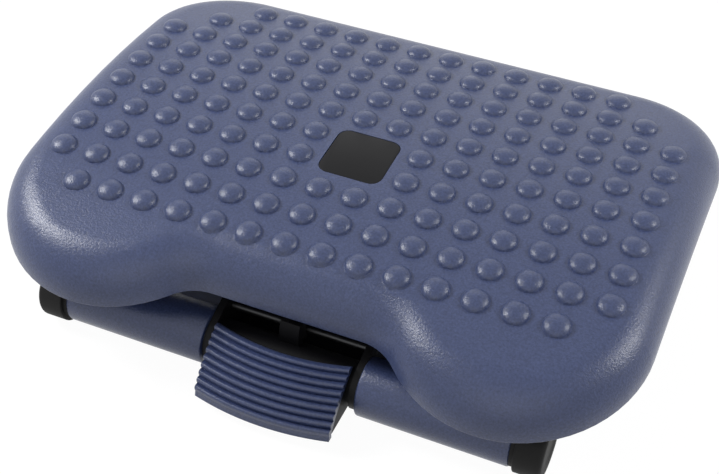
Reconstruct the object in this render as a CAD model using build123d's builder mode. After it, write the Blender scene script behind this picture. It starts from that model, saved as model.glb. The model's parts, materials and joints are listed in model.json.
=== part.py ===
import os
from math import asin, atan, cos, degrees, hypot, pi, radians, sin, sqrt, tan

from build123d import *

os.makedirs("parts", exist_ok=True)

# The frame: X runs along the footrest's width, Y from the pedal to the rear edge, Z up from the floor.
# Y = 0 lies midway between the pedal's lip and the platform's rear edge.

# Overall sizes
platform_width = 450.0
platform_depth = 332.0
crown_height = 108.0  # highest line of the platform's curved top above the floor
pedal_reach = 10.0  # how far the pedal's lip stands out in front of the platform
foot_inset = 48.0  # foot bars in from the pedal's lip and from the platform's rear edge
foot_length = 360.0  # across the end caps of one pair of foot tubes

# Platform moulding
crown_radius = 740.0
rim_depth = 31.0
edge_roll = 26.0
platform_wall = 3.0
lobe_radius = 86.0
rear_corner_radius = 74.0
notch_depth = 36.0
notch_fillet = 35.0
rib_thickness = 2.5
rib_depth = 10.0
rib_spacing_x = 100.0
rib_spacing_y = 84.0
rib_steps = 1  # ribs each side of the middle one
rib_root = 0.5  # how deep a rib is set into the moulding

# Massage bumps
bump_pitch = 25.7
bump_diameter = 18.0
bump_sides = 6
bump_height = 4.5
bump_shoulder_diameter = 11.5
bump_shoulder_height = 3.3
bump_root = 1.5  # how deep a bump is set into the moulding
bump_side_margin = 32.0
bump_front_margin = 28.0
bump_rear_margin = 36.0
rear_corner_steps = 2  # bumps left out towards each rear corner
front_corner_steps = 1

# Badge, a bare plate that takes the place of four bumps
badge_size = 46.0
badge_corner = 8.0
badge_thickness = 1.5
badge_recess = 1.8
badge_steps = 1  # pitches from the field's centre towards the front

# Foot tubes, their rods and end caps
tube_radius = 20.0
cap_radius = 22.0
cap_length = 21.5  # tube's end to the cap's outer face
cap_neck_length = 3.0
cap_neck_step = 0.8  # neck below the tube's surface
cap_edge = 3.0
cap_flat = 0.5  # depth of the flat that a cap stands on
cap_socket = 14.0  # depth of the hole that takes the rod's end
rod_radius = 8.0

# Spine channel between the front and rear feet
spine_inner_width = 100.0
spine_plate = 5.0
spine_web = 3.0
spine_clearance = 3.0  # floor to the underside of the web
spine_height = 24.0  # floor to the top edge of the side plates
spine_eye_radius = 17.0
spine_ear_radius = 13.0
gusset_length = 40.0
gusset_radius = 6.0
tongue_width = 28.0
tongue_length = 34.0
tongue_corner = 6.0

# Lift arms
arm_pivot_back = 35.0  # arm axle behind the front rod
arm_pivot_rise = 16.5  # arm axle above the front rod
arm_span = 118.0
arm_rise = 4.0  # tilt axle above the arm axle when lowered
arm_radius = 10.0
arm_thickness = 6.0
arm_gap = 1.0  # between an arm and the spine's side plate
axle_radius = 6.0
lift_range = 18.0

# Friction washers between the arms and the platform's brackets
washer_thickness = 2.0
washer_width = 7.0

# Brake quadrant and its limit pin
quadrant_radius = 22.0
quadrant_hub_radius = 11.0
quadrant_thickness = 10.0
quadrant_start = 120.0
quadrant_end = 215.0
limit_pin_radius = 2.5
limit_pin_offset = 15.5
limit_pin_angle = 195.0

# Rest bar and stop pads under the arms
rest_bar_y = 5.0
rest_bar_width = 20.0
rest_bar_thickness = 4.0
rest_bar_overhang = 6.0
pad_length = 14.0

# Pivot brackets under the platform
bracket_plate = 4.0
bracket_eye_radius = 13.0
bracket_length = 64.0
bracket_flange_width = 28.0
bracket_flange = 3.0
bracket_drop = 18.0  # crown to the top of the flange
bracket_corner = 6.0
stop_pin_radius = 3.0
stop_pin_back = 22.0  # stop pin in front of the tilt axle
stop_pin_wall = 3.0  # plate round the stop pin
boss_width = 12.0
boss_inset = 9.0

# Pedal
pedal_width = 96.0
pedal_bow = 192.0  # plan radius of the lip
lip_clearance = 8.0  # lip above the floor
lip_height = 5.0
lip_wall = 4.0
tread_run = 34.0
tread_rise = 30.0
tread_bulge = 2.5
tread_thickness = 4.0
ridge_count = 9
ridge_height = 1.2
carrier_plate = 3.0
carrier_web = 4.0
carrier_side_gap = 1.0  # carrier's side inside the tread's edge
hub_radius = 14.0
shoe_width = 14.0
shoe_depth = 7.0
lining_thickness = 4.0
lining_start = 158.0
lining_end = 186.0
shoe_margin = 2.0  # degrees of shoe above the lining
shoe_end = 196.0  # where the shoe runs into the hub

# Pedal return spring
spring_radius = 4.0
spring_wire = 0.8
wire_sides = 4
spring_turns = 3
spring_back = 25.0  # spring's axis behind the lip
spring_seat_radius = 6.5
spring_length = 12.4

# Clearances
running_gap = 0.05
press_gap = 0.02
touch_gap = 0.3
slot_gap = 0.4

# Places that follow from the sizes
overall_depth = platform_depth + pedal_reach
rear_y = overall_depth / 2
lip_y = -overall_depth / 2
front_y = rear_y - platform_depth
notch_y = front_y + notch_depth
half_width = platform_width / 2
field_front = notch_y + bump_front_margin
field_rear = rear_y - bump_rear_margin
crown_y = (field_front + field_rear) / 2
rod_z = cap_radius - cap_flat
front_rod_y = lip_y + foot_inset
rear_rod_y = rear_y - foot_inset
foot_spread = rear_rod_y - front_rod_y
arm_pivot_y = front_rod_y + arm_pivot_back
arm_pivot_z = rod_z + arm_pivot_rise
tilt_y = arm_pivot_y + arm_span
tilt_z = arm_pivot_z + arm_rise
spine_half = spine_inner_width / 2
tube_start = spine_half + spine_plate
cap_end = foot_length / 2
tube_end = cap_end - cap_length
arm_offset = tube_start + arm_gap
arm_outer = arm_offset + arm_thickness
bracket_face = arm_outer + washer_thickness
bracket_outer = bracket_face + bracket_plate
flange_top = crown_height - bracket_drop
pad_base = spine_height + rest_bar_thickness
rod_bore = rod_radius + running_gap
axle_bore = axle_radius + running_gap

# The rolled edge in two bevels that touch a round of its radius, and the hollow's one bevel
roll_down = edge_roll * (1 - tan(pi / 12))
roll_across = roll_down * tan(pi / 6)
rolled_edge = [(roll_across, roll_down), (roll_down - roll_across, roll_down - roll_across)]
hollow_bevel = edge_roll - 2 * platform_wall
hollow_edge = [(hollow_bevel, hollow_bevel)]
STANDING = (Align.CENTER, Align.CENTER, Align.MIN)
HANGING = (Align.CENTER, Align.CENTER, Align.MAX)
pieces = {}


def crown_z(y):
    return crown_height - crown_radius + sqrt(crown_radius**2 - (y - crown_y) ** 2)


def arm_middle_z(y):
    return arm_pivot_z + (y - arm_pivot_y) * arm_rise / arm_span


def on_arm_pivot(radius, angle):
    turn = radians(angle)
    return (arm_pivot_y + radius * cos(turn), arm_pivot_z + radius * sin(turn))


def keep(name, part):
    part.label = name
    pieces[name] = part


def mirrored(part):
    with BuildPart() as other:
        mirror(part, about=Plane.YZ)
    return other.part


# A slab of the platform's plan, bent to the crown and bevelled along its upper edge
def platform_slab(inset, lowered, depth, bevels):
    lobe_y = front_y + lobe_radius
    lobe_x = half_width - lobe_radius
    reach = lobe_y - notch_y + notch_fillet
    fillet_x = lobe_x - sqrt((lobe_radius + notch_fillet) ** 2 - reach**2)
    share = notch_fillet / (lobe_radius + notch_fillet)
    touch = (fillet_x + (lobe_x - fillet_x) * share, notch_y - notch_fillet + reach * share)
    with BuildPart() as slab:
        with BuildSketch():
            with BuildLine():
                notch = Line((0, notch_y), (fillet_x, notch_y))
                shoulder = TangentArc(notch @ 1, touch, tangent=notch % 1)
                lobe = TangentArc(shoulder @ 1, (half_width, lobe_y), tangent=shoulder % 1)
                side = Line(lobe @ 1, (half_width, rear_y - rear_corner_radius))
                corner = TangentArc(side @ 1, (half_width - rear_corner_radius, rear_y), tangent=side % 1)
                Line(corner @ 1, (0, rear_y))
                mirror(about=Plane.YZ)
            make_face()
            if inset > 0:
                offset(amount=-inset)
        extrude(amount=2 * crown_height)
        with BuildSketch(Plane.YZ):
            with BuildLine():
                top = ThreePointArc(
                    *[(y, crown_z(y) - lowered) for y in (-overall_depth, crown_y, overall_depth)]
                )
                bottom = ThreePointArc(
                    *[(y, crown_z(y) - lowered - depth) for y in (-overall_depth, crown_y, overall_depth)]
                )
                Line(top @ 0, bottom @ 0)
                Line(top @ 1, bottom @ 1)
            make_face()
        extrude(amount=platform_width, both=True, mode=Mode.INTERSECT)
        for across, down in bevels:
            top_face = slab.faces().sort_by(Axis.Z)[-1]
            chamfer(top_face.edges(), length=across, length2=down, reference=top_face)
    return slab.part


# Bump places, standing square to the crown, without the corners and the badge's four
def bump_places():
    columns = int((platform_width - 2 * bump_side_margin) / bump_pitch) + 1
    rows = int((field_rear - field_front) / bump_pitch) + 1
    badge_reach = (badge_size + bump_diameter) / 2
    places = []
    for column in range(columns):
        for row in range(rows):
            side_step = min(column, columns - 1 - column)
            if side_step + row < rear_corner_steps or side_step + rows - 1 - row < front_corner_steps:
                continue
            x = (column - (columns - 1) / 2) * bump_pitch
            y = crown_y + ((rows - 1) / 2 - row) * bump_pitch
            if abs(x) < badge_reach and abs(y - badge_y) < badge_reach:
                continue
            lean = -degrees(asin((y - crown_y) / crown_radius))
            places.append(Location((x, y, crown_z(y)), (lean, 0, 0)))
    return places


badge_y = crown_y - badge_steps * bump_pitch
badge_lean = asin((badge_y - crown_y) / crown_radius)
badge_plane = Plane(
    (0, badge_y, crown_z(badge_y)), x_dir=(1, 0, 0), z_dir=(0, sin(badge_lean), cos(badge_lean))
)
boss_places = [
    (side * (bracket_outer + bracket_flange_width - bracket_plate - boss_inset), tilt_y + end)
    for side in (-1, 1)
    for end in (boss_inset - bracket_length / 2, bracket_length / 2 - boss_inset)
]

# One bump, a low dome in two slopes, whose foot sinks into the moulding
bump_slope = (bump_diameter - bump_shoulder_diameter) / 2 / bump_shoulder_height
with BuildPart() as bump:
    with BuildSketch(Plane.XY.offset(-bump_root)):
        RegularPolygon(bump_diameter / 2 + bump_slope * bump_root, bump_sides)
    extrude(amount=bump_root + bump_shoulder_height, taper=degrees(atan(bump_slope * cos(pi / bump_sides))))
    loft([bump.faces().sort_by(Axis.Z)[-1], Vertex(0, 0, bump_height)], ruled=True)

# Underside ribs, a lattice that follows the crown and stops at the rolled edge
hollow_inset = platform_wall - rib_root
with BuildPart() as ribs:
    add(platform_slab(hollow_inset, hollow_inset, 2 * rim_depth, hollow_edge))
    with BuildSketch():
        for step in range(-rib_steps, rib_steps + 1):
            with Locations((step * rib_spacing_x, 0)):
                Rectangle(rib_thickness, 2 * overall_depth)
            with Locations((0, crown_y + step * rib_spacing_y)):
                Rectangle(2 * platform_width, rib_thickness)
    extrude(amount=2 * crown_height, mode=Mode.INTERSECT)
    add(platform_slab(0, 0, platform_wall + rib_depth, []), mode=Mode.INTERSECT)

# Platform shell: rolled moulding with ribs, posts for the brackets, bumps and the badge's recess
with BuildPart() as platform_shell:
    add(platform_slab(0, 0, rim_depth, rolled_edge))
    add(platform_slab(platform_wall, platform_wall, 2 * rim_depth, hollow_edge), mode=Mode.SUBTRACT)
    add(ribs.part)
    for x, y in boss_places:
        with Locations((x, y, flange_top)):
            Box(boss_width, boss_width, crown_z(y) - platform_wall / 2 - flange_top, align=STANDING)
    with Locations(*bump_places()):
        add(bump.part, clean=False)
    with BuildSketch(badge_plane.offset(-badge_recess)):
        RectangleRounded(badge_size, badge_size, badge_corner)
    extrude(amount=2 * badge_recess, mode=Mode.SUBTRACT)
keep("platform_shell", platform_shell.part)

# Badge plate, plain and a little below the moulding
with BuildPart() as badge_plate:
    with BuildSketch(badge_plane.offset(-badge_recess)):
        RectangleRounded(
            badge_size - 2 * touch_gap, badge_size - 2 * touch_gap, badge_corner - touch_gap
        )
    extrude(amount=badge_thickness)
keep("badge_plate", badge_plate.part)


# A right-hand end cap: rubber on the rod's end, with a neck against the tube and a flat to stand on
def end_cap(rod_y):
    socket_radius = rod_radius + press_gap
    with BuildPart() as cap:
        with BuildSketch(Plane((0, rod_y, rod_z), x_dir=(1, 0, 0), z_dir=(0, -1, 0))):
            with BuildLine():
                Polyline(
                    (tube_end, socket_radius),
                    (tube_end, tube_radius - cap_neck_step),
                    (tube_end + cap_neck_length, tube_radius - cap_neck_step),
                    (tube_end + cap_neck_length, cap_radius),
                    (cap_end, cap_radius),
                    (cap_end, 0),
                    (tube_end + cap_socket, 0),
                    (tube_end + cap_socket, socket_radius),
                    close=True,
                )
            make_face()
        revolve(axis=Axis((0, rod_y, rod_z), (1, 0, 0)))
        chamfer(cap.edges().filter_by(GeomType.CIRCLE).group_by(Axis.X)[-1], length=cap_edge)
        with Locations((cap_end, rod_y, 0)):
            Box(2 * cap_end, 4 * cap_radius, 2 * cap_radius, align=HANGING, mode=Mode.SUBTRACT)
    return cap.part


for foot, foot_y in (("front", front_rod_y), ("rear", rear_rod_y)):
    with BuildPart() as foot_tubes:
        with BuildSketch(Plane.YZ.offset(tube_start)):
            with Locations((foot_y, rod_z)):
                Circle(tube_radius)
                Circle(rod_bore, mode=Mode.SUBTRACT)
        extrude(amount=tube_end - tube_start)
        mirror(about=Plane.YZ)
    keep(f"{foot}_tubes", foot_tubes.part)
    with BuildPart() as foot_rod:
        with Locations(Location((0, foot_y, rod_z), (0, 90, 0))):
            Cylinder(rod_radius, 2 * (tube_end + cap_socket - touch_gap))
    keep(f"{foot}_rod", foot_rod.part)
with BuildPart() as end_caps:
    for foot_y in (front_rod_y, rear_rod_y):
        add(end_cap(foot_y))
    mirror(about=Plane.YZ)
keep("end_caps", end_caps.part)

# Spine channel: two side plates with eyes for the rods and ears for the arm axle, on a web with a tongue
with BuildPart() as spine_channel:
    for side in (-1, 1):
        with BuildSketch(Plane.YZ.offset(side * (spine_half + spine_plate / 2))):
            with Locations((front_rod_y, rod_z)):
                Circle(spine_eye_radius)
            with Locations((arm_pivot_y, arm_pivot_z)):
                Circle(spine_ear_radius)
            with Locations((arm_pivot_y + gusset_length, spine_height - gusset_radius)):
                Circle(gusset_radius)
            make_hull()
            with Locations((0, spine_clearance)):
                Rectangle(foot_spread, spine_height - spine_clearance, align=(Align.CENTER, Align.MIN))
            with Locations((rear_rod_y, rod_z)):
                Circle(spine_eye_radius)
            with Locations((front_rod_y, rod_z), (rear_rod_y, rod_z)):
                Circle(rod_bore, mode=Mode.SUBTRACT)
            with Locations((arm_pivot_y, arm_pivot_z)):
                Circle(axle_bore, mode=Mode.SUBTRACT)
            with Locations(on_arm_pivot(limit_pin_offset, limit_pin_angle)):
                Circle(limit_pin_radius + press_gap, mode=Mode.SUBTRACT)
        extrude(amount=spine_plate / 2, both=True)
    with BuildSketch(Plane.XY.offset(spine_clearance)):
        Rectangle(spine_inner_width + 2 * spine_plate, foot_spread)
        with Locations((0, front_rod_y - tongue_length / 2)):
            RectangleRounded(tongue_width, tongue_length, tongue_corner)
        with Locations((0, front_rod_y)):
            Rectangle(tongue_width, tongue_length)
    extrude(amount=spine_web)
keep("spine_channel", spine_channel.part)

# Axles, fixed in the arms
with BuildPart() as arm_axle:
    with Locations(Location((0, arm_pivot_y, arm_pivot_z), (0, 90, 0))):
        Cylinder(axle_radius, 2 * arm_outer)
keep("arm_axle", arm_axle.part)
with BuildPart() as tilt_axle:
    with Locations(Location((0, tilt_y, tilt_z), (0, 90, 0))):
        Cylinder(axle_radius, 2 * bracket_outer)
keep("tilt_axle", tilt_axle.part)

# Lift arms, flat bars with round ends, one each side of the spine
with BuildPart() as lift_arm:
    with BuildSketch(Plane.YZ.offset(arm_offset)):
        with Locations((arm_pivot_y, arm_pivot_z), (tilt_y, tilt_z)):
            Circle(arm_radius)
        make_hull()
        with Locations((arm_pivot_y, arm_pivot_z), (tilt_y, tilt_z)):
            Circle(axle_radius + press_gap, mode=Mode.SUBTRACT)
    extrude(amount=arm_thickness)
keep("lift_arm_right", lift_arm.part)
keep("lift_arm_left", mirrored(lift_arm.part))

# Brake quadrant on the arm axle, with a slot that lets the arms swing as far as the limit pin allows
slot_half = limit_pin_radius + slot_gap
slot_start = limit_pin_angle - lift_range
with BuildPart() as brake_quadrant:
    with BuildSketch(Plane.YZ):
        with BuildLine():
            rim = CenterArc(
                (arm_pivot_y, arm_pivot_z), quadrant_radius, quadrant_start, quadrant_end - quadrant_start
            )
            Line((arm_pivot_y, arm_pivot_z), rim @ 0)
            Line((arm_pivot_y, arm_pivot_z), rim @ 1)
        make_face()
        with Locations((arm_pivot_y, arm_pivot_z)):
            Circle(quadrant_hub_radius)
            Circle(axle_radius + press_gap, mode=Mode.SUBTRACT)
        with BuildLine():
            slot_in, slot_out = [
                CenterArc((arm_pivot_y, arm_pivot_z), limit_pin_offset + step, slot_start, lift_range)
                for step in (-slot_half, slot_half)
            ]
            Line(slot_in @ 0, slot_out @ 0)
            Line(slot_in @ 1, slot_out @ 1)
        make_face(mode=Mode.SUBTRACT)
        with Locations(*[on_arm_pivot(limit_pin_offset, slot_start + end) for end in (0, lift_range)]):
            Circle(slot_half, mode=Mode.SUBTRACT)
    extrude(amount=quadrant_thickness / 2, both=True)
keep("brake_quadrant", brake_quadrant.part)
with BuildPart() as limit_pin:
    with Locations(Location((0, *on_arm_pivot(limit_pin_offset, limit_pin_angle)), (0, 90, 0))):
        Cylinder(limit_pin_radius, 2 * tube_start)
keep("limit_pin", limit_pin.part)

# Rest bar across the spine, and the pads that the lowered arms lie on
pad_top = arm_middle_z(rest_bar_y) - arm_radius * hypot(arm_span, arm_rise) / arm_span - touch_gap
with BuildPart() as rest_bar:
    with Locations((0, rest_bar_y, spine_height)):
        Box(2 * (arm_outer + rest_bar_overhang), rest_bar_width, rest_bar_thickness, align=STANDING)
    chamfer(rest_bar.edges().filter_by(Axis.Z), length=rest_bar_width / 4)
keep("rest_bar", rest_bar.part)
with BuildPart() as stop_pads:
    with Locations(*[(side * (arm_offset + arm_outer) / 2, rest_bar_y, pad_base) for side in (-1, 1)]):
        Box(arm_thickness, pad_length, pad_top - pad_base, align=STANDING)
keep("stop_pads", stop_pads.part)

# Pivot brackets: a plate down to the tilt axle, a flange under the platform and a stop over the arm
stop_y = tilt_y - stop_pin_back
stop_z = arm_middle_z(stop_y) + arm_radius * hypot(arm_span, arm_rise) / arm_span
stop_pin_z = stop_z + touch_gap + stop_pin_radius
with BuildPart() as pivot_bracket:
    with BuildSketch(Plane.YZ.offset(bracket_face)):
        with Locations((tilt_y, tilt_z)):
            Circle(bracket_eye_radius)
        with Locations((tilt_y, flange_top - bracket_flange)):
            Rectangle(bracket_length, bracket_flange, align=(Align.CENTER, Align.MIN))
        with Locations((stop_y, stop_pin_z)):
            Circle(stop_pin_radius + stop_pin_wall)
        make_hull()
        with Locations((tilt_y, tilt_z)):
            Circle(axle_bore, mode=Mode.SUBTRACT)
    extrude(amount=bracket_plate)
    with BuildSketch(Plane.XY.offset(flange_top - bracket_flange)):
        with Locations((bracket_face, tilt_y)):
            Rectangle(bracket_flange_width, bracket_length, align=(Align.MIN, Align.CENTER))
    extrude(amount=bracket_flange)
    chamfer(pivot_bracket.edges().filter_by(Axis.Z).group_by(Axis.X)[-1], length=bracket_corner)
    with Locations(Location((bracket_face, stop_y, stop_pin_z), (0, -90, 0))):
        Cylinder(stop_pin_radius, bracket_face - arm_offset, align=STANDING)
keep("pivot_bracket_right", pivot_bracket.part)
keep("pivot_bracket_left", mirrored(pivot_bracket.part))

# Friction washers between the brackets and the arms
with BuildPart() as friction_washers:
    with BuildSketch(Plane.YZ.offset(arm_outer + running_gap)):
        with Locations((tilt_y, tilt_z)):
            Circle(axle_radius + washer_width)
            Circle(axle_bore, mode=Mode.SUBTRACT)
    extrude(amount=washer_thickness - running_gap)
    mirror(about=Plane.YZ)
keep("friction_washers", friction_washers.part)

# The pedal's tread in side view, where it crosses the middle
lip_top = lip_clearance + lip_height
tread_length = hypot(tread_run, tread_rise)
tread_slope = Vector(tread_run, tread_rise) / tread_length
tread_inward = Vector(tread_rise, -tread_run) / tread_length
tread_foot = Vector(lip_y, lip_top)
tread_head = tread_foot + tread_slope * tread_length
tread_middle = (tread_foot + tread_head) / 2 - tread_inward * tread_bulge
bow_axis = Axis((0, lip_y + pedal_bow, 0), (0, 0, 1))
bow_drop = pedal_bow - sqrt(pedal_bow**2 - pedal_width**2 / 4)
carrier_half = pedal_width / 2 - carrier_side_gap


def tread_line(depth):
    return Polyline(*[p + tread_inward * depth for p in (tread_foot, tread_middle, tread_head)])


# A layer of the pedal between two depths below its face, bowed in plan and cut to a width
def tread_layer(outer, inner, width):
    with BuildPart() as layer:
        with BuildSketch(Plane.YZ):
            with BuildLine():
                upper = tread_line(outer)
                lower = tread_line(inner)
                Line(upper @ 0, lower @ 0)
                Line(upper @ 1, lower @ 1)
            make_face()
        revolve(axis=bow_axis)
        with Locations((0, lip_y, lip_top)):
            Box(width, pedal_bow, pedal_bow, mode=Mode.INTERSECT)
    return layer.part


# Pedal tread: a sloping corrugated plate with a turned-down lip, bowed towards the front
with BuildPart() as pedal_tread:
    with BuildSketch(Plane.YZ):
        with BuildLine():
            back = tread_line(tread_thickness)
            to_trough = tread_inward * tread_thickness
            to_crest = tread_inward * (tread_thickness + ridge_height)
            corrugation = []
            for ridge in range(ridge_count):
                corrugation.append(back @ (ridge / ridge_count) - to_trough)
                corrugation.append(back @ ((ridge + 0.5) / ridge_count) - to_crest)
            Polyline(back @ 0, *corrugation, tread_head, back @ 1)
        make_face()
        with Locations((lip_y, lip_clearance)):
            Rectangle(lip_wall, lip_height, align=(Align.MIN, Align.MIN))
    revolve(axis=bow_axis)
    with Locations((0, lip_y, lip_top)):
        Box(pedal_width, pedal_bow, pedal_bow, mode=Mode.INTERSECT)
keep("pedal_tread", pedal_tread.part)

# Pedal carrier: plate under the tread, webs, hub on the front rod, brake shoe and spring seat
spring_y = lip_y + spring_back
spring_base = spine_clearance + spine_web
lining_inner = quadrant_radius + touch_gap
lining_outer = lining_inner + lining_thickness
web_places = [side * (carrier_half - carrier_web / 2) for side in (-1, 1)]


# The part of a ring about the arm axle between two radii and two angles
def shoe_sector(inner, outer, start, end):
    with BuildPart() as sector:
        with BuildSketch(Plane.YZ):
            with BuildLine():
                near = CenterArc((arm_pivot_y, arm_pivot_z), inner, start, end - start)
                far = CenterArc((arm_pivot_y, arm_pivot_z), outer, start, end - start)
                Line(near @ 0, far @ 0)
                Line(near @ 1, far @ 1)
            make_face()
        extrude(amount=shoe_width / 2, both=True)
    return sector.part


with BuildPart() as pedal_carrier:
    for place in web_places:
        with BuildSketch(Plane.YZ.offset(place)):
            with Locations((front_rod_y, rod_z)):
                Circle(hub_radius)
            with Locations((lip_y + lip_wall + bow_drop + carrier_web, lip_clearance + carrier_web / 2)):
                Circle(carrier_web / 2)
            with Locations(tread_head + tread_inward * (tread_thickness + carrier_web)):
                Circle(carrier_web / 2)
            make_hull()
        extrude(amount=carrier_web / 2, both=True)
    add(tread_layer(tread_thickness, tread_thickness + carrier_plate, 2 * carrier_half))
    with Locations((0, spring_y, spring_base + spring_length)):
        Cylinder(spring_seat_radius, tread_rise / 2, align=STANDING)
    add(tread_layer(-pedal_width / 2, tread_thickness, pedal_width), mode=Mode.SUBTRACT)
    add(pedal_tread.part, mode=Mode.SUBTRACT)
    with Locations(Location((0, front_rod_y, rod_z), (0, 90, 0))):
        Cylinder(hub_radius, 2 * (spine_half - touch_gap))
    add(shoe_sector(lining_outer, lining_outer + shoe_depth, lining_start - shoe_margin, shoe_end))
    with Locations(Location((0, front_rod_y, rod_z), (0, 90, 0))):
        Cylinder(rod_bore, 2 * pedal_width, mode=Mode.SUBTRACT)
keep("pedal_carrier", pedal_carrier.part)
keep("brake_lining", shoe_sector(lining_inner, lining_outer, lining_start, lining_end))


# Two arcs that leave one point along its direction and reach another along its own
def biarc(start, start_dir, end, end_dir):
    chord = end - start
    lean = chord.dot(start_dir + end_dir)
    spread = 2 * (1 - start_dir.dot(end_dir))
    reach = (sqrt(lean**2 + spread * chord.dot(chord)) - lean) / spread
    joint = (start + end + (start_dir - end_dir) * reach) / 2
    first = TangentArc(start, joint, tangent=start_dir)
    TangentArc(joint, end, tangent=first % 1)


# Pedal return spring, wound in half turns between the web's tongue and the carrier's seat
half_turns = 2 * spring_turns
climb = spring_length - 2 * (spring_wire + touch_gap)
slope_per_turn = climb / (2 * pi * spring_radius * spring_turns)


def spring_point(half):
    turn = half * pi
    height = spring_base + spring_wire + touch_gap + climb * half / half_turns
    return Vector(spring_radius * cos(turn), spring_y + spring_radius * sin(turn), height)


def spring_heading(half):
    turn = half * pi
    return Vector(-sin(turn), cos(turn), slope_per_turn).normalized()


with BuildPart() as pedal_spring:
    with BuildLine() as spring_line:
        for half in range(half_turns):
            biarc(
                spring_point(half),
                spring_heading(half),
                spring_point(half + 1),
                spring_heading(half + 1),
            )
    with BuildSketch(Plane(spring_point(0), z_dir=spring_heading(0))):
        RegularPolygon(spring_wire, wire_sides)
    sweep(path=spring_line.wires()[0])
keep("pedal_spring", pedal_spring.part)
print("pedal spring's least gap between turns, mm:", round(climb / spring_turns - 2 * spring_wire, 2))

for piece_name, piece in pieces.items():
    export_step(piece, f"parts/{piece_name}.step")
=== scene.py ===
import json
import math

import bmesh
import bpy
from mathutils import Matrix, Vector


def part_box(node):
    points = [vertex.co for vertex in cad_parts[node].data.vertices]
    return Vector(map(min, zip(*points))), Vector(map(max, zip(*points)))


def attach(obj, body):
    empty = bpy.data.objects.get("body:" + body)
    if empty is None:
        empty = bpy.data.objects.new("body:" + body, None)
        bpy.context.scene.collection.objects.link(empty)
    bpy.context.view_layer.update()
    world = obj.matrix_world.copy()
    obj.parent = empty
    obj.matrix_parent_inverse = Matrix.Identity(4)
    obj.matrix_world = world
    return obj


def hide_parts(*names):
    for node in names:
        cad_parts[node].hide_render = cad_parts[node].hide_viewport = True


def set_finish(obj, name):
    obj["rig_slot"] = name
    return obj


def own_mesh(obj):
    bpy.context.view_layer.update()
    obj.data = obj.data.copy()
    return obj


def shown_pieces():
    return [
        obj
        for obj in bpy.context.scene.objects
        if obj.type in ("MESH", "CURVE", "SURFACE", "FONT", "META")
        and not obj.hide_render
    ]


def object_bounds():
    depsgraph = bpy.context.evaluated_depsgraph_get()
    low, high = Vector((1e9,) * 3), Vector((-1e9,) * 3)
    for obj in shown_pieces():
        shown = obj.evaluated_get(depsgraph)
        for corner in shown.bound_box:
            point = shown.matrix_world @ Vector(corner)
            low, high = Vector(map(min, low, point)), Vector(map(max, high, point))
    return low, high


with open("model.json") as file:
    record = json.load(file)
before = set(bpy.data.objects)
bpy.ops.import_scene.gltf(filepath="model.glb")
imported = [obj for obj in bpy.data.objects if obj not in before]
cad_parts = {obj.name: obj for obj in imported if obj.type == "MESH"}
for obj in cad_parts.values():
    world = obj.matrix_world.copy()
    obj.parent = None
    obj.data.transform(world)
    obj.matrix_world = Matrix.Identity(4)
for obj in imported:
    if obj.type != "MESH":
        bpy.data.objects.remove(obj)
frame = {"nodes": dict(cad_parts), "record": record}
cadLow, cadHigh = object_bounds()
print("frame loaded:", len(frame["nodes"]), "nodes")


def clearSelection():
    if bpy.context.object and bpy.context.object.mode == "EDIT":
        bpy.ops.object.mode_set(mode="OBJECT")
    bpy.ops.object.select_all(action="DESELECT")


def openPiece(name):  # the primitive just added is named and opened for editing
    piece = bpy.context.object
    piece.name = name
    piece.data.name = name
    bpy.ops.object.transform_apply(location=True, rotation=True, scale=True)
    bpy.ops.object.mode_set(mode="EDIT")
    return piece


def edit(piece):
    clearSelection()
    piece.select_set(True)
    bpy.context.view_layer.objects.active = piece
    bpy.ops.object.mode_set(mode="EDIT")


def choose(piece, kind, test):  # select vertices, edges or faces by their place
    bpy.ops.mesh.select_mode(type=kind)
    bpy.ops.mesh.select_all(action="DESELECT")
    body = bmesh.from_edit_mesh(piece.data)
    body.normal_update()
    for part in {"VERT": body.verts, "EDGE": body.edges, "FACE": body.faces}[kind]:
        if test(part):
            part.select_set(True)
    body.select_flush_mode()
    bmesh.update_edit_mesh(piece.data)


def middle(edge):
    return (edge.verts[0].co + edge.verts[1].co) / 2


def cleanUp(piece, smoothAngle):  # doubles merged, faces outwards, soft and sharp edges told apart
    bpy.ops.mesh.select_all(action="SELECT")
    bpy.ops.mesh.remove_doubles(threshold=1e-5)
    bpy.ops.mesh.normals_make_consistent(inside=False)
    bpy.ops.object.mode_set(mode="OBJECT")
    bpy.ops.object.shade_smooth_by_angle(angle=math.radians(smoothAngle))
    return piece


def applyModifier(piece, kind, **values):
    bpy.context.view_layer.objects.active = piece
    step = piece.modifiers.new(kind, kind)
    for key, value in values.items():
        setattr(step, key, value)
    bpy.ops.object.modifier_apply(modifier=step.name)


def combine(piece, other, operation):  # cut or add another body, which is then deleted
    clearSelection()
    applyModifier(piece, "BOOLEAN", operation=operation, object=other, solver="EXACT")
    bpy.data.objects.remove(other)


def startPoint(place):  # a plane collapsed to one vertex, ready to be extruded
    clearSelection()
    bpy.ops.mesh.primitive_plane_add(size=0.01, location=place)
    bpy.ops.object.transform_apply(location=True)
    bpy.ops.object.mode_set(mode="EDIT")
    bpy.ops.mesh.select_mode(type="VERT")
    bpy.ops.mesh.select_all(action="SELECT")
    bpy.ops.mesh.merge(type="CENTER")


def pull(move):
    bpy.ops.mesh.extrude_region_move(TRANSFORM_OT_translate={"value": move})


def turn(center, angle, axis=(0, 0, 1), steps=12):  # counter-clockwise about the axis
    bpy.ops.mesh.spin(steps=steps, angle=-angle, center=center, axis=axis)


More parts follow.
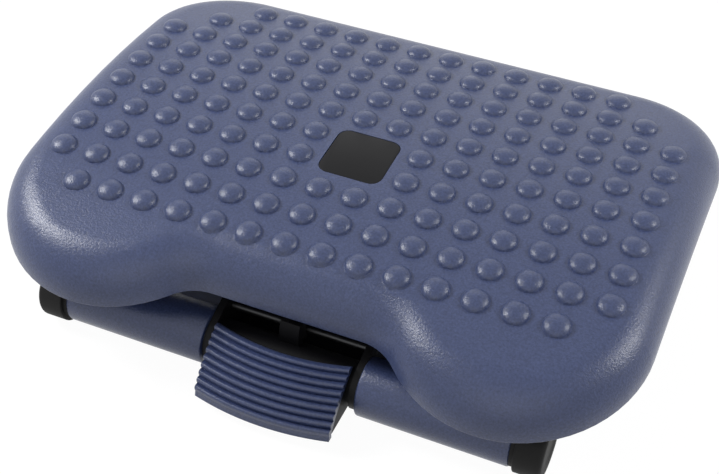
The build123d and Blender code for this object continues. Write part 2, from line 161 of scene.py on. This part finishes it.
# Platform: the moulded shell, first made flat and then bent to its crown
shellLow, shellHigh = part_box("platform_shell")
platform = {
    "crownTop": 0.108, "crownY": 0.019, "crownRadius": 0.740,
    "rimDepth": 0.031, "roll": 0.026, "rollSteps": 9, "wall": 0.003,
    "lobeRadius": 0.086, "cornerRadius": 0.074, "notchDepth": 0.036, "notchFillet": 0.035,
    "pitch": 0.0257, "columns": 16, "rows": 10, "rearCut": 2, "frontCut": 1,
    "bumpRadius": 0.0090, "bumpHeight": 0.0045, "bumpFoot": 0.0003, "bumpSkirt": 0.0008,
    "bumpSides": 24, "bumpRings": 5,
    "ribThickness": 0.0025, "ribDepth": 0.010, "ribSpacing": (0.100, 0.084), "ribRoot": 0.0005,
    "badgeSize": 0.046, "badgeCorner": 0.008, "badgeRecess": 0.0018, "badgeRow": -1,
    "badgeGap": 0.0003, "badgeThickness": 0.0015, "badgeEdge": 0.0004,
    "bottomRound": 0.0009, "arcSteps": 24, "bendStrips": 7, "recessSteps": 6, "badgeSteps": 8,
}


def planHalf(name, inset, z):  # right half of the plan, from the notch's middle to the rear edge's
    p = platform
    notchY = shellLow.y + p["notchDepth"] + inset
    lobe = Vector((shellHigh.x - p["lobeRadius"], shellLow.y + p["lobeRadius"], z))
    fillet = p["notchFillet"] + inset
    reach = lobe.y - notchY + fillet
    span = p["lobeRadius"] + p["notchFillet"]
    filletX = lobe.x - math.sqrt(span**2 - reach**2)
    lean = math.asin(reach / span)
    corner = p["cornerRadius"]
    cornerY = shellHigh.y - corner
    startPoint((0, notchY, z))
    pull((filletX, 0, 0))
    turn((filletX, notchY - fillet, z), lean - math.pi / 2, steps=p["arcSteps"] // 2)
    turn(lobe, math.pi - lean, steps=p["arcSteps"])
    pull((0, cornerY - lobe.y, 0))
    turn((shellHigh.x - corner, cornerY, z), math.pi / 2, steps=p["arcSteps"])
    pull((corner - shellHigh.x, 0, 0))
    piece = bpy.context.object
    piece.name = name
    piece.data.name = name
    bpy.ops.object.mode_set(mode="OBJECT")
    applyModifier(piece, "MIRROR", merge_threshold=1e-5)
    return piece


def flatSlab(name, inset, bottom, top, roll):  # the plan raised and rolled over along its upper edge
    piece = planHalf(name, inset, bottom)
    edit(piece)
    bpy.ops.mesh.select_all(action="SELECT")
    bpy.ops.mesh.remove_doubles(threshold=1e-6)
    bpy.ops.mesh.edge_face_add()
    pull((0, 0, top - roll - bottom))
    choose(piece, "EDGE", lambda e: e.is_boundary)
    bpy.ops.mesh.edge_face_add()
    bpy.ops.mesh.select_all(action="SELECT")
    bpy.ops.mesh.normals_make_consistent(inside=False)
    choose(piece, "FACE", lambda f: f.calc_center_median().z > top - roll - 1e-6)
    steps = platform["rollSteps"]
    for step in range(steps):
        before, after = [math.pi / 2 * (step + end) / steps for end in (0, 1)]
        bpy.ops.mesh.inset(
            thickness=roll * (math.cos(before) - math.cos(after)),
            depth=roll * (math.sin(after) - math.sin(before)),
        )
    bpy.ops.mesh.select_all(action="SELECT")
    bpy.ops.mesh.normals_make_consistent(inside=False)
    bpy.ops.object.mode_set(mode="OBJECT")
    return piece


def cutAway(piece, place, normal, keepBelow=True):  # bisect everything and close the cut
    bpy.ops.mesh.select_all(action="SELECT")
    bpy.ops.mesh.bisect(
        plane_co=place, plane_no=normal, use_fill=True, clear_outer=keepBelow, clear_inner=not keepBelow,
        threshold=1e-7,
    )


def addRibs(shell, ground):  # a lattice of thin ribs under the moulding
    p = platform
    inset = p["wall"] - p["ribRoot"]
    top = p["crownTop"] - inset
    for axis in (0, 1):
        for step in (-1, 0, 1):
            rib = flatSlab("rib", inset, ground, top, p["roll"] - p["wall"])
            edit(rib)
            place = Vector((0, p["crownY"], 0))
            place[axis] += step * p["ribSpacing"][axis]
            side = Vector((0, 0, 0))
            side[axis] = p["ribThickness"] / 2
            cutAway(rib, place + side, side.normalized())
            cutAway(rib, place - side, side.normalized(), keepBelow=False)
            cutAway(rib, (0, 0, top - p["ribRoot"] - p["ribDepth"]), (0, 0, 1), keepBelow=False)
            bpy.ops.mesh.select_all(action="SELECT")
            bpy.ops.mesh.normals_make_consistent(inside=False)
            bpy.ops.object.mode_set(mode="OBJECT")
            combine(shell, rib, "UNION")


def onTop(face):  # the level middle of the top, before it is bent
    return face.normal.z > 0.999 and face.calc_center_median().z > platform["crownTop"] - 1e-5


def cutGrid(shell):  # strips across the whole shell for the bend, and cells in its top for the bumps
    p = platform
    for line in range(-p["bendStrips"], p["bendStrips"]):
        bpy.ops.mesh.select_all(action="SELECT")
        place = (0, p["crownY"] + line * p["pitch"], 0)
        bpy.ops.mesh.bisect(plane_co=place, plane_no=(0, 1, 0), threshold=1e-7)
    half = p["columns"] // 2
    for line in range(-half, half + 1):
        choose(shell, "FACE", onTop)
        bpy.ops.mesh.bisect(plane_co=(line * p["pitch"], 0, 0), plane_no=(1, 0, 0), threshold=1e-7)


def bumpPlaces():  # the field of bumps without the corners and the badge's four
    p = platform
    places = []
    for column in range(p["columns"]):
        for row in range(p["rows"]):
            side = min(column, p["columns"] - 1 - column)
            if side + row < p["rearCut"] or side + p["rows"] - 1 - row < p["frontCut"]:
                continue
            x = (column - (p["columns"] - 1) / 2) * p["pitch"]
            y = p["crownY"] + ((p["rows"] - 1) / 2 - row) * p["pitch"]
            badgeY = p["crownY"] + p["badgeRow"] * p["pitch"]
            if abs(x) < p["pitch"] and abs(y - badgeY) < p["pitch"]:
                continue
            places.append(Vector((x, y, p["crownTop"])))
    return places


def bumpDome():  # one bump as a closed body, its skirt sunk into the moulding
    p = platform
    radius, height, skirt = p["bumpRadius"], p["bumpHeight"], p["bumpSkirt"]
    startPoint((radius + skirt, 0, -skirt))
    pull((-skirt, 0, skirt + p["bumpFoot"]))
    for ring in range(p["bumpRings"]):
        before, after = [math.pi / 2 * (ring + end) / p["bumpRings"] for end in (0, 1)]
        rise = (height - p["bumpFoot"]) * (math.sin(after) - math.sin(before))
        pull((radius * (math.cos(after) - math.cos(before)), 0, rise))
    bpy.ops.mesh.select_all(action="SELECT")
    turn((0, 0, 0), 2 * math.pi, steps=p["bumpSides"])
    dome = bpy.context.object
    bpy.ops.mesh.select_all(action="SELECT")
    bpy.ops.mesh.remove_doubles(threshold=1e-6)
    choose(dome, "EDGE", lambda e: e.is_boundary)
    bpy.ops.mesh.edge_face_add()
    bpy.ops.mesh.select_all(action="SELECT")
    bpy.ops.mesh.normals_make_consistent(inside=False)
    bpy.ops.object.mode_set(mode="OBJECT")
    return dome


def addBumps(shell):
    dome = bumpDome()
    field = []
    for place in bumpPlaces():
        bump = dome.copy()
        bump.data = dome.data.copy()
        bump.location = place
        bpy.context.collection.objects.link(bump)
        field.append(bump)
    bpy.data.objects.remove(dome)
    clearSelection()
    for bump in field:
        bump.select_set(True)
    bpy.context.view_layer.objects.active = field[0]
    bpy.ops.object.join()
    bpy.ops.object.transform_apply(location=True)
    combine(shell, field[0], "UNION")
    print("bumps:", len(field))


def addBadgeRecess(shell):
    p = platform
    badgeY = p["crownY"] + p["badgeRow"] * p["pitch"]

    def underBadge(face):
        at = face.calc_center_median()
        return onTop(face) and abs(at.x) < p["pitch"] and abs(at.y - badgeY) < p["pitch"]

    choose(shell, "FACE", underBadge)
    bpy.ops.mesh.dissolve_faces()
    bpy.ops.mesh.inset(thickness=p["pitch"] - p["badgeSize"] / 2)
    bpy.ops.mesh.bevel(offset=p["badgeCorner"], segments=p["recessSteps"], affect="VERTICES")
    choose(shell, "FACE", lambda f: underBadge(f) and f.calc_area() > p["badgeSize"] ** 2 * 0.8)
    pull((0, 0, -p["badgeRecess"]))


def bendToCrown(shell):
    p = platform
    low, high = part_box("pivot_bracket_right")
    for vertex in shell.data.vertices:
        at = vertex.co
        if low.x < abs(at.x) < high.x and low.y < at.y < high.y and at.z < high.z + p["wall"]:
            continue  # the posts' feet stay on the brackets
        lean = math.asin((vertex.co.y - p["crownY"]) / p["crownRadius"])
        proud = max(vertex.co.z - p["crownTop"], 0)
        vertex.co.y += proud * math.sin(lean)
        vertex.co.z -= p["crownRadius"] * (1 - math.cos(lean)) + proud * (1 - math.cos(lean))


posts = {"width": 0.012, "inset": 0.009, "foot": 0.0006}


def addPosts(shell):  # square posts that carry the pivot brackets
    p = posts
    low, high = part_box("pivot_bracket_right")
    top = platform["crownTop"] - platform["wall"] / 2
    for side in (-1, 1):
        for y in (low.y + p["inset"], high.y - p["inset"]):
            clearSelection()
            bottom = high.z
            bpy.ops.mesh.primitive_cube_add(
                size=p["width"], location=(side * (high.x - p["inset"]), y, bottom + p["width"] / 2)
            )
            post = openPiece("post")
            choose(post, "FACE", lambda f: f.normal.z > 0.9)
            reach = top - bottom - p["width"]
            bpy.ops.transform.translate(value=(0, 0, reach))
            choose(post, "FACE", lambda f: f.normal.z < -0.9)
            bpy.ops.mesh.bevel(offset=p["foot"], segments=2)
            bpy.ops.object.mode_set(mode="OBJECT")
            combine(shell, post, "UNION")


def makePlatform():
    p = platform
    rimBottom = p["crownTop"] - p["rimDepth"]
    shell = flatSlab("platformMoulding", 0, rimBottom, p["crownTop"], p["roll"])
    edit(shell)
    choose(shell, "EDGE", lambda e: abs(middle(e).z - rimBottom) < 1e-6)
    bpy.ops.mesh.bevel(offset=p["bottomRound"], segments=3)
    bpy.ops.object.mode_set(mode="OBJECT")
    ground = rimBottom - p["wall"]
    hollow = flatSlab("hollow", p["wall"], ground, p["crownTop"] - p["wall"], p["roll"] - p["wall"])
    combine(shell, hollow, "DIFFERENCE")
    addRibs(shell, ground)
    addPosts(shell)
    edit(shell)
    cutGrid(shell)
    addBadgeRecess(shell)
    bpy.ops.object.mode_set(mode="OBJECT")
    addBumps(shell)
    bendToCrown(shell)
    edit(shell)
    cleanUp(shell, 50)
    applyModifier(shell, "WEIGHTED_NORMAL", mode="FACE_AREA", weight=100, keep_sharp=True)
    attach(shell, "platform")
    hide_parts("platform_shell")
    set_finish(shell, "slate_plastic")
    print("platform:", len(shell.data.polygons), "faces")


# Badge: a bare plate with softened edges
def makeBadge():
    p = platform
    badgeY = p["crownY"] + p["badgeRow"] * p["pitch"]
    lean = math.asin((badgeY - p["crownY"]) / p["crownRadius"])
    gap, thickness = p["badgeGap"], p["badgeThickness"]
    size = p["badgeSize"] - 2 * gap
    clearSelection()
    bpy.ops.mesh.primitive_plane_add(size=size)
    plate = openPiece("badgePlate")
    bpy.ops.mesh.bevel(offset=p["badgeCorner"] - gap, segments=p["badgeSteps"], affect="VERTICES")
    pull((0, 0, thickness))
    choose(plate, "EDGE", lambda e: abs(middle(e).z - thickness) < 1e-6)
    bpy.ops.mesh.bevel(offset=p["badgeEdge"], segments=3)
    cleanUp(plate, 40)
    drop = p["crownRadius"] * (1 - math.cos(lean)) + p["badgeRecess"]
    plate.data.transform(
        Matrix.Translation((0, badgeY, p["crownTop"] - drop)) @ Matrix.Rotation(-lean, 4, "X")
    )
    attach(plate, "platform")
    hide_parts("badge_plate")
    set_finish(plate, "badge_plastic")


# Foot bars: sleeves with a bore for the rod, and rubber ends
footBars = {"sides": 96, "bore": 0.00805, "edge": 0.0014}


def makeSleeves(node, name):
    low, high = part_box(node)
    radius = (high.z - low.z) / 2
    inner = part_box("spine_channel")[1].x
    for side, letter in ((-1, "left"), (1, "right")):
        clearSelection()
        place = (side * (inner + high.x) / 2, (low.y + high.y) / 2, (low.z + high.z) / 2)
        bpy.ops.mesh.primitive_cylinder_add(
            vertices=footBars["sides"], radius=radius, depth=high.x - inner,
            location=place, rotation=(0, math.pi / 2, 0),
        )
        sleeve = openPiece(name + "_" + letter)
        choose(sleeve, "FACE", lambda f: abs(f.normal.x) > 0.9)
        bpy.ops.mesh.inset(thickness=radius - footBars["bore"], use_individual=True)
        bpy.ops.mesh.delete(type="ONLY_FACE")
        choose(sleeve, "EDGE", lambda e: e.is_boundary)
        bpy.ops.mesh.bridge_edge_loops()

        def isRim(edge):
            across = math.hypot(middle(edge).y - place[1], middle(edge).z - place[2])
            atEnd = abs(abs(middle(edge).x - place[0]) - (high.x - inner) / 2) < 1e-6
            return atEnd and across > radius * 0.98

        choose(sleeve, "EDGE", isRim)
        bpy.ops.mesh.bevel(offset=footBars["edge"], segments=3)
        cleanUp(sleeve, 40)
        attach(sleeve, "base")
        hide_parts(node)
        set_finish(sleeve, "slate_plastic")


caps = {
    "sides": 96, "neckLength": 0.003, "neckStep": 0.0008, "edge": 0.003, "socket": 0.014,
    "socketRadius": 0.00802, "shoulder": 0.0005, "dish": 0.0004, "dishRadius": 0.011, "dishRim": 0.001,
}


def makeCaps():
    c = caps
    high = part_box("end_caps")[1]
    tubeLow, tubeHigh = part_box("front_tubes")
    rearLow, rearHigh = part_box("rear_rod")
    sleeveEnd = tubeHigh.x
    tubeRadius = (tubeHigh.z - tubeLow.z) / 2
    radius = high.y - (rearLow.y + rearHigh.y) / 2
    for rod, place in (("front_rod", "front"), ("rear_rod", "rear")):
        rodLow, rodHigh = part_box(rod)
        axisY, axisZ = (rodLow.y + rodHigh.y) / 2, (rodLow.z + rodHigh.z) / 2
        for side, letter in ((-1, "left"), (1, "right")):
            startPoint((side * sleeveEnd, axisY, axisZ + c["socketRadius"]))
            pull((0, 0, tubeRadius - c["neckStep"] - c["socketRadius"]))
            pull((side * c["neckLength"], 0, 0))
            pull((0, 0, radius - tubeRadius + c["neckStep"] - c["shoulder"]))
            pull((side * c["shoulder"], 0, c["shoulder"]))
            pull((side * (high.x - sleeveEnd - c["neckLength"] - c["shoulder"] - c["edge"]), 0, 0))
            bend = (side * (high.x - c["edge"]), axisY, axisZ + radius - c["edge"])
            turn(bend, math.pi / 2 * side, axis=(0, 1, 0), steps=6)
            pull((0, 0, -radius + c["edge"] + c["dishRadius"] + c["dishRim"]))
            pull((-side * c["dish"], 0, -c["dishRim"]))
            pull((0, 0, -c["dishRadius"]))
            bpy.ops.mesh.select_all(action="SELECT")
            turn((0, axisY, axisZ), 2 * math.pi, axis=(1, 0, 0), steps=c["sides"])
            cap = bpy.context.object
            cap.name = f"endCap_{place}_{letter}"
            cap.data.name = cap.name
            bpy.ops.mesh.select_all(action="SELECT")
            bpy.ops.mesh.remove_doubles(threshold=1e-5)
            choose(cap, "EDGE", lambda e: e.is_boundary)
            pull((side * c["socket"], 0, 0))
            bpy.ops.mesh.edge_face_add()
            cutAway(cap, (0, 0, 0), (0, 0, 1), keepBelow=False)
            cleanUp(cap, 35)
            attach(cap, "base")
            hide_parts("end_caps")
            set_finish(cap, "cap_rubber")


# Pedal tread: a corrugated plate bowed towards the front, with a turned-down lip
tread = {
    "bow": 0.192, "run": 0.034, "rise": 0.030, "bulge": 0.0025, "thickness": 0.004, "lipTop": 0.013,
    "lipBottom": 0.008, "lipWall": 0.004, "lipStep": 0.001, "backSteps": 8, "waveShape": 0.85,
    "ridges": 9, "ridgeHeight": 0.0027, "grooveDepth": 0.0015, "ridgeSteps": 10,
    "bowSteps": 28, "overrun": 1.05,
}


def makeTread():
    t = tread
    low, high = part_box("pedal_tread")
    width = high.x - low.x
    foot = Vector((0, low.y, t["lipTop"]))
    head = foot + Vector((0, t["run"], t["rise"]))
    along = (head - foot).normalized()
    inward = Vector((0, along.z, -along.y))

    def onBack(share):  # a bulging line under the ridges
        return foot.lerp(head, share) + inward * (t["thickness"] - 4 * t["bulge"] * share * (1 - share))

    line = [onBack(0)]
    steps = t["ridges"] * t["ridgeSteps"]
    for step in range(steps + 1):
        wave = abs(math.sin(math.pi * step / t["ridgeSteps"])) ** t["waveShape"]
        proud = t["thickness"] - t["grooveDepth"] + t["ridgeHeight"] * wave
        line.append(onBack(step / steps) - inward * proud)
    line += [onBack(1 - step / t["backSteps"]) for step in range(t["backSteps"])]
    at = Vector((0, low.y + t["lipWall"], t["lipTop"] - t["lipStep"]))
    outline = [Vector((0, low.y + t["lipWall"], t["lipBottom"])), Vector((0, low.y, t["lipBottom"]))]
    outline += line[1:] + [at]
    startPoint(at)
    for point in outline:
        pull(point - at)
        at = point
    piece = bpy.context.object
    piece.name = "pedalTread"
    piece.data.name = "pedalTread"
    bpy.ops.mesh.select_all(action="SELECT")
    bpy.ops.mesh.remove_doubles(threshold=1e-6)
    swing = math.asin(width / 2 / (t["bow"] - high.y + low.y)) * t["overrun"]
    center = (0, low.y + t["bow"], 0)
    bpy.ops.transform.rotate(value=swing, orient_axis="Z", center_override=center)
    turn(center, 2 * swing, steps=t["bowSteps"])
    cutAway(piece, (width / 2, 0, 0), (1, 0, 0))
    cutAway(piece, (-width / 2, 0, 0), (1, 0, 0), keepBelow=False)
    cleanUp(piece, 40)
    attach(piece, "pedal")
    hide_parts("pedal_tread")
    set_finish(piece, "slate_plastic")


# Pedal spring: a round wire wound between its seats
spring = {"radius": 0.004, "wire": 0.0008, "turns": 3, "wireSides": 10, "turnSteps": 24, "pressed": 0.70}


def makeSpring():
    s = spring
    low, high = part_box("pedal_spring")
    middleY = (low.y + high.y) / 2
    climb = high.z - low.z - 2 * s["wire"]
    clearSelection()
    bpy.ops.mesh.primitive_circle_add(
        vertices=s["wireSides"], radius=s["wire"], location=(s["radius"], 0, 0), rotation=(math.pi / 2, 0, 0)
    )
    coil = openPiece("pedalSpring")
    bpy.ops.object.mode_set(mode="OBJECT")
    applyModifier(
        coil, "SCREW", angle=2 * math.pi, screw_offset=climb / s["turns"], iterations=s["turns"],
        steps=s["turnSteps"], render_steps=s["turnSteps"],
    )
    coil.data.transform(Matrix.Translation((0, middleY, low.z + s["wire"])))
    edit(coil)
    bpy.ops.mesh.select_all(action="SELECT")
    bpy.ops.mesh.fill_holes(sides=0)
    cleanUp(coil, 40)
    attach(coil, "base")
    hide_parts("pedal_spring")
    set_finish(coil, "bare_steel")
    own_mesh(coil)
    print("spring wound")


# Fasteners: screws through the brackets into the posts, and push caps on the axles' ends
fasteners = {
    "headRadius": 0.0042, "headHeight": 0.0024, "headRound": 0.0012,
    "socketRadius": 0.0019, "socketDepth": 0.0014, "flange": 0.003,
    "capRadius": 0.0088, "capHeight": 0.0014, "capRound": 0.0005, "capHollow": 0.0055, "capDish": 0.0004,
    "gap": 0.0001, "sides": 32,
}


def turnedHead(place, towards, radius, height, rounding, hollow, depth):  # low, with a hollow in its face
    clearSelection()
    bpy.ops.mesh.primitive_cylinder_add(vertices=fasteners["sides"], radius=radius, depth=height)
    head = openPiece("head")
    choose(head, "EDGE", lambda e: min(v.co.z for v in e.verts) > 0)
    bpy.ops.mesh.bevel(offset=rounding, segments=3)
    choose(head, "FACE", lambda f: f.normal.z > 0.99)
    bpy.ops.mesh.inset(thickness=radius - rounding - hollow)
    pull((0, 0, -depth))
    cleanUp(head, 35)
    lift = Matrix.Translation((0, 0, height / 2 + fasteners["gap"]))
    aim = towards.to_track_quat("Z", "Y").to_matrix().to_4x4()
    head.data.transform(Matrix.Translation(place) @ aim @ lift)
    return head


def gather(heads, name, body):
    clearSelection()
    for head in heads:
        head.select_set(True)
    bpy.context.view_layer.objects.active = heads[0]
    bpy.ops.object.join()
    heads[0].name = name
    heads[0].data.name = name
    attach(heads[0], body)
    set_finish(heads[0], "bare_steel")


def makeFasteners():
    f = fasteners
    low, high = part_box("pivot_bracket_right")
    screws = []
    for side in (-1, 1):
        for y in (low.y + posts["inset"], high.y - posts["inset"]):
            place = Vector((side * (high.x - posts["inset"]), y, high.z - f["flange"]))
            screws.append(turnedHead(
                place, Vector((0, 0, -1)), f["headRadius"], f["headHeight"], f["headRound"],
                f["socketRadius"], f["socketDepth"],
            ))
    gather(screws, "bracketScrews", "platform")
    pushCaps = []
    for axle in ("arm_axle", "tilt_axle"):
        low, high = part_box(axle)
        for side in (-1, 1):
            place = Vector((side * high.x, (low.y + high.y) / 2, (low.z + high.z) / 2))
            pushCaps.append(turnedHead(
                place, Vector((side, 0, 0)), f["capRadius"], f["capHeight"], f["capRound"],
                f["capHollow"], f["capDish"],
            ))
    gather(pushCaps, "axleCaps", "lift_frame")


class Flow:  # a shader socket that takes part in sums
    def __init__(self, shade, socket):
        self.shade = shade
        self.socket = socket

    def __add__(self, other):
        return self.shade.maths("ADD", self, other)

    def __radd__(self, other):
        return self.shade.maths("ADD", other, self)

    def __sub__(self, other):
        return self.shade.maths("SUBTRACT", self, other)

    def __rsub__(self, other):
        return self.shade.maths("SUBTRACT", other, self)

    def __mul__(self, other):
        return self.shade.maths("MULTIPLY", self, other)

    def __rmul__(self, other):
        return self.shade.maths("MULTIPLY", other, self)

    def __pow__(self, other):
        return self.shade.maths("POWER", self, other)


class Shade:  # one material, or the world, and its nodes
    def __init__(self, name, world=None):
        self.material = world or bpy.data.materials.new(name)
        self.material.use_nodes = True
        self.tree = self.material.node_tree
        self.tree.nodes.clear()
        self.place = self.node("ShaderNodeTexCoord", out="Object")

    def node(self, kind, settings=None, sockets=None, out=0):
        made = self.tree.nodes.new(kind)
        for key, value in (settings or {}).items():
            setattr(made, key, value)
        for key, value in (sockets or {}).items():
            self.feed(made.inputs[key], value)
        if out is None:
            return [Flow(self, socket) for socket in made.outputs]
        return Flow(self, made.outputs[out]) if len(made.outputs) else None

    def feed(self, socket, value):
        if isinstance(value, Flow):
            self.tree.links.new(value.socket, socket)
        else:
            socket.default_value = value

    def maths(self, operation, first, second):
        return self.node("ShaderNodeMath", {"operation": operation}, {0: first, 1: second})

    def clamp(self, value):
        return self.node("ShaderNodeClamp", None, {"Value": value})

    def noise(self, scale, detail=2.0, roughness=0.5, vector=None):
        return self.node("ShaderNodeTexNoise", None, {
            "Vector": vector or self.place, "Scale": scale, "Detail": detail, "Roughness": roughness,
        })

    def blend(self, factor, first, second):  # two colours
        return self.node("ShaderNodeMix", {"data_type": "RGBA"}, {0: factor, 6: first, 7: second}, out=2)

    def bump(self, height, strength, distance):
        return self.node("ShaderNodeBump", None, {
            "Height": height, "Strength": strength, "Distance": distance,
        })

    def backdrop(self):  # 1 for the rays by which the camera, metal and glass see the background
        kinds = ("Is Camera Ray", "Is Glossy Ray", "Is Transmission Ray")
        camera, glossy, through = [self.node("ShaderNodeLightPath", out=kind) for kind in kinds]
        return self.clamp(camera + glossy + through)

    def finish(self, sockets):
        shader = self.node("ShaderNodeBsdfPrincipled", None, sockets)
        self.node("ShaderNodeOutputMaterial", None, {"Surface": shader})
        return self.material


def rgb(red, green, blue):
    return (red, green, blue, 1.0)


def slatePlastic():
    shade = Shade("slatePlastic")
    grain = shade.noise(700.0, 3.0, 0.65)
    cloud = shade.noise(16.0, 2.0)
    speckle = shade.clamp(grain * 2.2 - 0.7 + cloud * 0.2)
    color = shade.blend(speckle, rgb(0.029, 0.043, 0.112), rgb(0.070, 0.096, 0.218))
    return shade.finish({
        "Base Color": color,
        "Roughness": 0.24 + grain * 0.14,
        "Specular IOR Level": 0.55,
        "Normal": shade.bump(grain, 1.0, 0.0003),
    })


def capRubber():
    shade = Shade("capRubber")
    grain = shade.noise(700.0, 3.0, 0.6)
    color = shade.blend(grain, rgb(0.008, 0.008, 0.008), rgb(0.016, 0.016, 0.016))
    return shade.finish({
        "Base Color": color, "Roughness": 0.55 + grain * 0.2, "Specular IOR Level": 0.2,
        "Normal": shade.bump(grain, 0.25, 0.0003),
    })


def blackPlastic():
    shade = Shade("blackPlastic")
    grain = shade.noise(900.0, 2.0)
    color = shade.blend(grain, rgb(0.004, 0.004, 0.005), rgb(0.008, 0.008, 0.010))
    return shade.finish({
        "Base Color": color, "Roughness": 0.42 + grain * 0.15, "Specular IOR Level": 0.12,
        "Normal": shade.bump(grain, 0.2, 0.0002),
    })


def badgePlastic():
    shade = Shade("badgePlastic")
    grain = shade.noise(600.0, 2.0)
    color = shade.blend(grain, rgb(0.003, 0.003, 0.004), rgb(0.006, 0.006, 0.007))
    return shade.finish({
        "Base Color": color, "Roughness": 0.40 + grain * 0.1, "Specular IOR Level": 0.2,
        "Normal": shade.bump(grain, 0.1, 0.0001),
    })


def blackPaint():
    shade = Shade("blackPaint")
    peel = shade.noise(420.0, 2.0)
    color = shade.blend(peel, rgb(0.007, 0.007, 0.008), rgb(0.012, 0.012, 0.013))
    return shade.finish({
        "Base Color": color, "Roughness": 0.38 + peel * 0.14, "Specular IOR Level": 0.15,
        "Normal": shade.bump(peel, 0.15, 0.0002),
    })


def bareSteel():
    shade = Shade("bareSteel")
    stretched = shade.node("ShaderNodeMapping", None, {"Vector": shade.place, "Scale": (0.03, 1.0, 1.0)})
    drawn = shade.noise(1800.0, 3.0, 0.6, stretched)
    color = shade.blend(drawn, rgb(0.050, 0.051, 0.054), rgb(0.085, 0.087, 0.091))
    return shade.finish({
        "Base Color": color, "Metallic": 1.0, "Roughness": 0.36 + drawn * 0.2,
        "Normal": shade.bump(drawn, 0.1, 0.0001),
    })


def frictionPlastic():
    shade = Shade("frictionPlastic")
    grain = shade.noise(500.0, 3.0)
    color = shade.blend(grain, rgb(0.30, 0.26, 0.19), rgb(0.40, 0.34, 0.25))
    return shade.finish({
        "Base Color": color, "Roughness": 0.6 + grain * 0.2, "Normal": shade.bump(grain, 0.2, 0.0002),
    })


makePlatform()
makeBadge()
makeSleeves("front_tubes", "frontSleeve")
makeSleeves("rear_tubes", "rearSleeve")
makeCaps()
makeTread()
makeSpring()
makeFasteners()
print("pieces made")

# Every piece takes the finish of its slot
finishes = {
    "slate_plastic": slatePlastic(),
    "badge_plastic": badgePlastic(),
    "black_plastic": blackPlastic(),
    "cap_rubber": capRubber(),
    "friction_plastic": frictionPlastic(),
    "black_steel": blackPaint(),
    "bare_steel": bareSteel(),
}
nodeSlots = {part["node"]: part["material_slot"] for part in frame["record"]["subparts"]}
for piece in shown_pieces():
    slotName = piece.get("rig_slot") or nodeSlots[piece.name]
    piece.data.materials.clear()
    piece.data.materials.append(finishes[slotName])
print("finishes set")

# Studio: a pale floor, soft lamps and the camera
studio = {
    "floorSize": 40.0, "floorTone": 0.60, "glowStrength": 1.12, "glowShare": 0.86,
    # shadeReach and shadeSoft size the floor's painted shade: a fixed patch under the part that gets no glow
    "shadeReach": (0.150, 0.100), "shadeSoft": 0.02,
    "lamps": [
        ("leftLamp", (-1.01, -0.16, 0.90), 0.42, 11.5),
        ("rightLamp", (1.06, 0.30, 0.82), 0.42, 7.0),
        ("frontLamp", (0.30, -1.50, 0.90), 1.60, 3.7),
        ("backLamp", (-0.86, 2.02, 1.00), 2.00, 4.2),
    ],
    "worldStrength": 0.13,
}


def makeFloor():
    clearSelection()
    bpy.ops.mesh.primitive_plane_add(size=studio["floorSize"])
    floor = bpy.context.object
    floor.name = "studioFloor"
    shade = Shade("studioFloor")
    glow = shade.node("ShaderNodeEmission", None, {"Color": rgb(1, 1, 1), "Strength": studio["glowStrength"]})
    axes = shade.node("ShaderNodeSeparateXYZ", None, {"Vector": shade.place}, out=None)
    beyond = [
        ((axis ** 2) ** 0.5 - reach) * (1 / studio["shadeSoft"])
        for axis, reach in zip(axes[:2], studio["shadeReach"])
    ]
    # painted shade: the floor gets no glow in a fixed patch under the part, so it renders darker there,
    # around its real shadow
    clear = shade.clamp(shade.maths("MAXIMUM", *beyond))  # no glow under the part
    tone = studio["floorTone"]
    matt = shade.node("ShaderNodeBsdfPrincipled", None, {
        "Base Color": rgb(tone, tone, tone), "Roughness": 1.0, "Specular IOR Level": 0.0,
    })
    share = shade.backdrop() * clear * studio["glowShare"]
    surface = shade.node("ShaderNodeMixShader", None, {0: share, 1: matt, 2: glow})
    shade.node("ShaderNodeOutputMaterial", None, {"Surface": surface})
    floor.data.materials.append(shade.material)


def makeWorld():
    world = bpy.data.worlds.new("studioWorld")
    bpy.context.scene.world = world
    shade = Shade("studioWorld", world)
    soft = shade.node("ShaderNodeBackground", None, {
        "Color": rgb(1, 1, 1), "Strength": studio["worldStrength"],
    })
    white = shade.node("ShaderNodeBackground", None, {"Color": rgb(1, 1, 1), "Strength": 1.0})
    mixed = shade.node("ShaderNodeMixShader", None, {0: shade.backdrop(), 1: soft, 2: white})
    shade.node("ShaderNodeOutputWorld", None, {"Surface": mixed})


def makeLamps():
    aim = (cadLow + cadHigh) / 2
    for name, place, size, power in studio["lamps"]:
        clearSelection()
        bpy.ops.object.light_add(type="AREA", location=place)
        lamp = bpy.context.object
        lamp.name = name
        lamp.data.shape = "DISK"
        lamp.data.size = size
        lamp.data.energy = power
        lamp.rotation_euler = (aim - Vector(place)).to_track_quat("-Z", "Y").to_euler()


lens = {
    "place": (0.27531, -0.64678, 0.66801), "azimuth": 23.257, "elevation": 42.302, "roll": 0.412,
    "focal": 66.39, "sensor": 36.0, "near": 0.01,
}


def makeCamera():
    clearSelection()
    bpy.ops.object.camera_add(location=lens["place"])
    camera = bpy.context.object
    camera.name = "studioCamera"
    camera.data.lens = lens["focal"]
    camera.data.sensor_width = lens["sensor"]
    camera.data.clip_start = lens["near"]
    swing = Matrix.Rotation(math.radians(lens["azimuth"]), 3, "Z")
    tip = Matrix.Rotation(math.radians(90 - lens["elevation"]), 3, "X")
    roll = Matrix.Rotation(math.radians(lens["roll"]), 3, "Z")
    camera.rotation_euler = (swing @ tip @ roll).to_euler()
    bpy.context.scene.camera = camera


makeFloor()
makeWorld()
makeLamps()
makeCamera()
bpy.context.scene.view_settings.view_transform = "Standard"
print("studio set")
